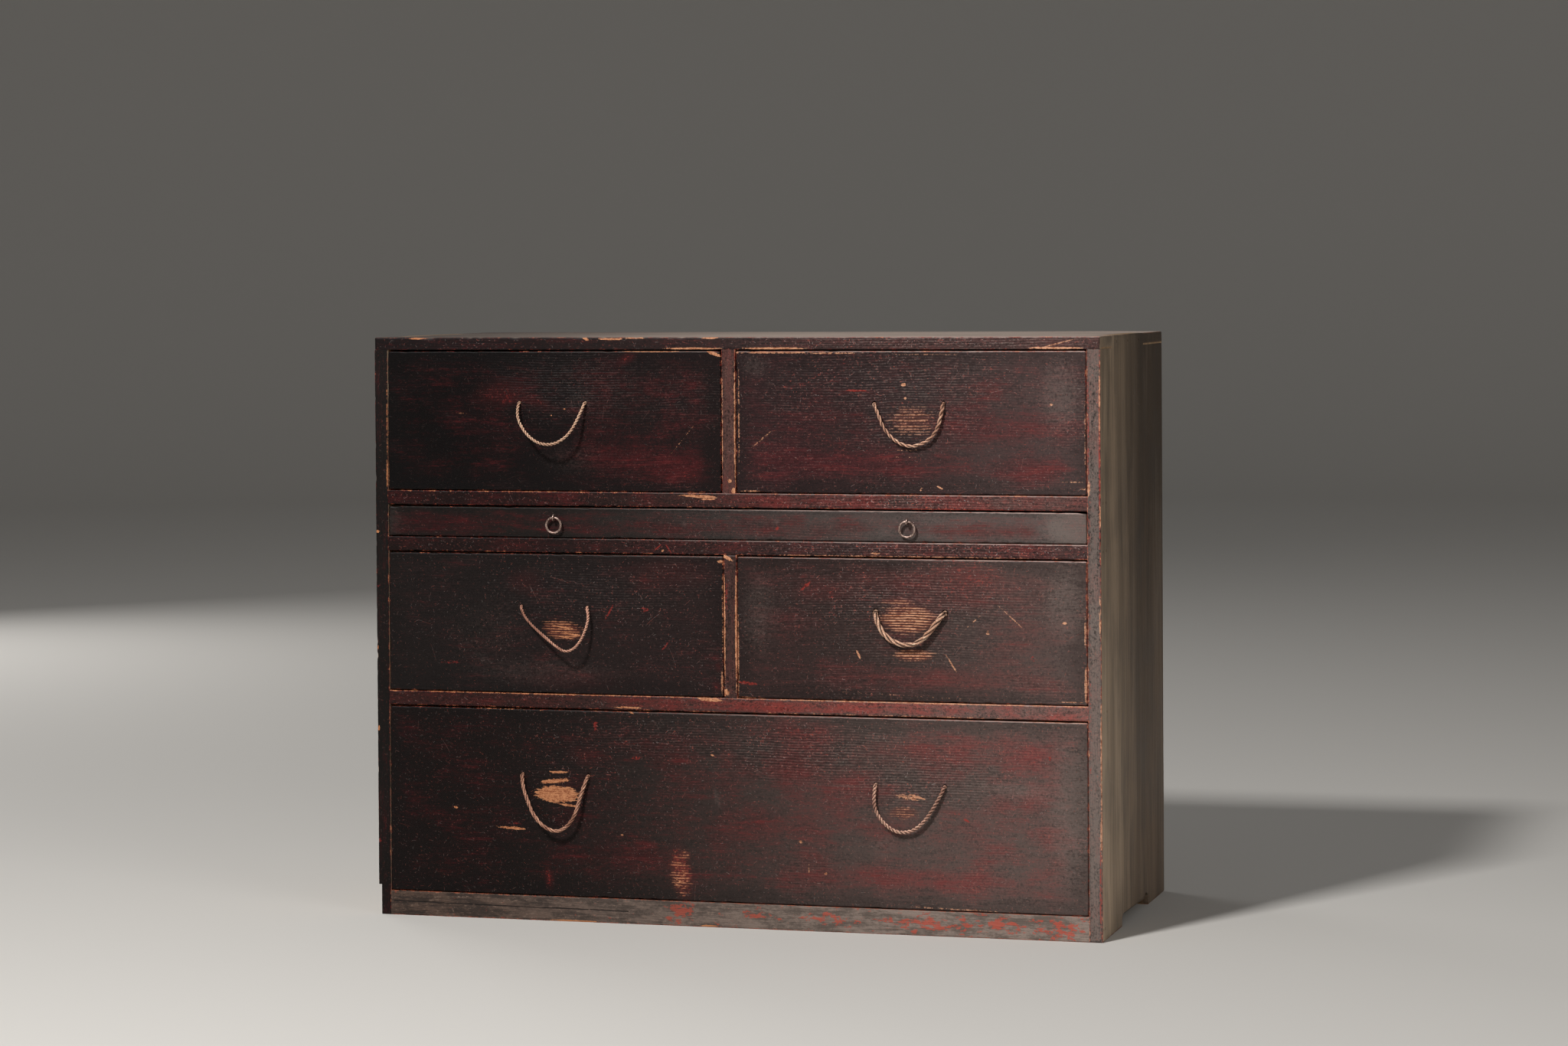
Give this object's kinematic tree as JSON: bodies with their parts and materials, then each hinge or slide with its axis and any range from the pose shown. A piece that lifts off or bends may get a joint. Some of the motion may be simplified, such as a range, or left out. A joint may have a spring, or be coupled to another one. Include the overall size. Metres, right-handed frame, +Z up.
{
  "type": "chest of drawers",
  "caption": "Low wide wooden chest of drawers with inset fronts, twisted cord pulls, small wire ring pulls, a box-jointed top and feet cut from the sides.",
  "frame": {"origin": "on the floor under the middle of the footprint", "axes": "+Z up, +X to the right of a person facing the front, +Y from the front to the back; the drawers open towards -Y"},
  "size_m": [0.909, 0.43, 0.7122],
  "materials": {
    "drawer_front_lacquer": "thin dark red-black lacquer, worn",
    "rail_lacquer": "dark red-brown lacquer, worn to bare wood at the arrises",
    "case_board_lacquer": "faded grey-brown lacquer, matte and streaked",
    "bare_wood": "unfinished aged softwood",
    "peg_wood": "unfinished hardwood",
    "twisted_cord": "dry twisted bast fibre",
    "forged_iron": "dull oxidised wire"
  },
  "bodies": {
    "case": {"top_board": "case_board_lacquer", "left_side_board": "case_board_lacquer", "right_side_board": "case_board_lacquer", "bottom_board": "bare_wood", "base_rail": "case_board_lacquer", "lower_rail": "rail_lacquer", "middle_rail": "rail_lacquer", "upper_rail": "rail_lacquer", "lower_dust_board": "bare_wood", "middle_dust_board": "bare_wood", "upper_dust_board": "bare_wood", "upper_divider": "rail_lacquer", "lower_divider": "rail_lacquer", "back_planks": "bare_wood", "case_pegs": "peg_wood"},
    "top_left_drawer": {"top_left_drawer_front": "drawer_front_lacquer", "top_left_drawer_left_side": "bare_wood", "top_left_drawer_right_side": "bare_wood", "top_left_drawer_back": "bare_wood", "top_left_drawer_bottom": "bare_wood", "top_left_cord_knots": "twisted_cord"},
    "top_right_drawer": {"top_right_drawer_front": "drawer_front_lacquer", "top_right_drawer_left_side": "bare_wood", "top_right_drawer_right_side": "bare_wood", "top_right_drawer_back": "bare_wood", "top_right_drawer_bottom": "bare_wood", "top_right_cord_knots": "twisted_cord"},
    "shallow_drawer": {"shallow_drawer_front": "drawer_front_lacquer", "shallow_drawer_left_side": "bare_wood", "shallow_drawer_right_side": "bare_wood", "shallow_drawer_back": "bare_wood", "shallow_drawer_bottom": "bare_wood", "ring_split_pins": "forged_iron"},
    "middle_left_drawer": {"middle_left_drawer_front": "drawer_front_lacquer", "middle_left_drawer_left_side": "bare_wood", "middle_left_drawer_right_side": "bare_wood", "middle_left_drawer_back": "bare_wood", "middle_left_drawer_bottom": "bare_wood", "middle_left_cord_knots": "twisted_cord"},
    "middle_right_drawer": {"middle_right_drawer_front": "drawer_front_lacquer", "middle_right_drawer_left_side": "bare_wood", "middle_right_drawer_right_side": "bare_wood", "middle_right_drawer_back": "bare_wood", "middle_right_drawer_bottom": "bare_wood", "middle_right_cord_knots": "twisted_cord"},
    "bottom_drawer": {"bottom_drawer_front": "drawer_front_lacquer", "bottom_drawer_left_side": "bare_wood", "bottom_drawer_right_side": "bare_wood", "bottom_drawer_back": "bare_wood", "bottom_drawer_bottom": "bare_wood", "bottom_left_cord_knots": "twisted_cord", "bottom_right_cord_knots": "twisted_cord"},
    "top_left_cord": {"top_left_cord_loop": "twisted_cord"},
    "top_right_cord": {"top_right_cord_loop": "twisted_cord"},
    "middle_left_cord": {"middle_left_cord_loop": "twisted_cord"},
    "middle_right_cord": {"middle_right_cord_loop": "twisted_cord"},
    "bottom_left_cord": {"bottom_left_cord_loop": "twisted_cord"},
    "bottom_right_cord": {"bottom_right_cord_loop": "twisted_cord"},
    "left_ring": {"left_ring": "forged_iron"},
    "right_ring": {"right_ring": "forged_iron"}
  },
  "joints": [
    {"name": "top_left_drawer_slide", "type": "slide", "parent": "case", "child": "top_left_drawer", "axis": [0, -1, 0], "range_m": [0, 0.33]},
    {"name": "top_right_drawer_slide", "type": "slide", "parent": "case", "child": "top_right_drawer", "axis": [0, -1, 0], "range_m": [0, 0.33]},
    {"name": "shallow_drawer_slide", "type": "slide", "parent": "case", "child": "shallow_drawer", "axis": [0, -1, 0], "range_m": [0, 0.33]},
    {"name": "middle_left_drawer_slide", "type": "slide", "parent": "case", "child": "middle_left_drawer", "axis": [0, -1, 0], "range_m": [0, 0.33]},
    {"name": "middle_right_drawer_slide", "type": "slide", "parent": "case", "child": "middle_right_drawer", "axis": [0, -1, 0], "range_m": [0, 0.33]},
    {"name": "bottom_drawer_slide", "type": "slide", "parent": "case", "child": "bottom_drawer", "axis": [0, -1, 0], "range_m": [0, 0.33]},
    {"name": "top_left_cord_swing", "type": "hinge", "parent": "top_left_drawer", "child": "top_left_cord", "pos_m": [-0.22345, -0.2041, 0.63284], "axis": [-1, 0, 0], "range_deg": [0, 90]},
    {"name": "top_right_cord_swing", "type": "hinge", "parent": "top_right_drawer", "child": "top_right_cord", "pos_m": [0.22345, -0.2045, 0.63284], "axis": [-1, 0, 0], "range_deg": [0, 90]},
    {"name": "middle_left_cord_swing", "type": "hinge", "parent": "middle_left_drawer", "child": "middle_left_cord", "pos_m": [-0.22285, -0.204, 0.38418], "axis": [-1, 0, 0], "range_deg": [0, 90]},
    {"name": "middle_right_cord_swing", "type": "hinge", "parent": "middle_right_drawer", "child": "middle_right_cord", "pos_m": [0.22365, -0.2058, 0.38418], "axis": [-1, 0, 0], "range_deg": [0, 90]},
    {"name": "bottom_left_cord_swing", "type": "hinge", "parent": "bottom_drawer", "child": "bottom_left_cord", "pos_m": [-0.22266, -0.2046, 0.17835], "axis": [-1, 0, 0], "range_deg": [0, 90]},
    {"name": "bottom_right_cord_swing", "type": "hinge", "parent": "bottom_drawer", "child": "bottom_right_cord", "pos_m": [0.22266, -0.2046, 0.17835], "axis": [-1, 0, 0], "range_deg": [0, 90]},
    {"name": "left_ring_swing", "type": "hinge", "parent": "shallow_drawer", "child": "left_ring", "pos_m": [-0.2214, -0.207, 0.49282], "axis": [-1, 0, 0], "range_deg": [-8, 188]},
    {"name": "right_ring_swing", "type": "hinge", "parent": "shallow_drawer", "child": "right_ring", "pos_m": [0.2214, -0.207, 0.49282], "axis": [-1, 0, 0], "range_deg": [-8, 188]}
  ]
}
